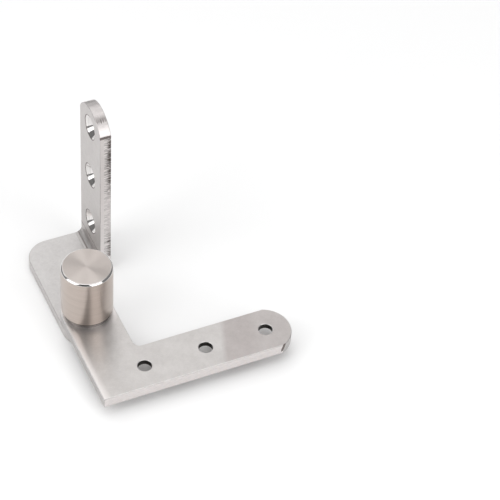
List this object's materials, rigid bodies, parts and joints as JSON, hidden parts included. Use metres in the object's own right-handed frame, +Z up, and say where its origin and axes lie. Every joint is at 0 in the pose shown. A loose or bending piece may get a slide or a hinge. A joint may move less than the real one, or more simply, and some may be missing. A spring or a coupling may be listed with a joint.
{
  "type": "pivot hinge",
  "caption": "Pivot hinge: an L-shaped door plate and a closed barrel turn on a pin riveted into a bent frame bracket with an upright screw leaf.",
  "frame": {"origin": "on the pivot axis at the underside of the frame bracket", "axes": "+Z up along the pivot axis towards the barrel, +X along the door plate's long arm at rest and out of the back of the bracket's leaf, +Y along the bracket's arm"},
  "size_m": [0.0883, 0.099, 0.0865],
  "materials": {
    "brushed_plate": "brushed stainless steel plate with a fine grain",
    "turned_steel": "turned stainless steel with polished edges",
    "bearing_steel": "polished bearing steel"
  },
  "bodies": {
    "frame_side": {"frame_bracket": "brushed_plate", "pivot_pin": "turned_steel", "thrust_ball": "bearing_steel"},
    "door_side": {"door_plate": "brushed_plate", "neck_bush": "turned_steel", "pivot_barrel": "turned_steel"}
  },
  "joints": [
    {"name": "door_swing", "type": "hinge", "parent": "frame_side", "child": "door_side", "pos_m": [0, 0, 0.015], "axis": [0, 0, 1], "range_deg": [-180, 95]}
  ]
}
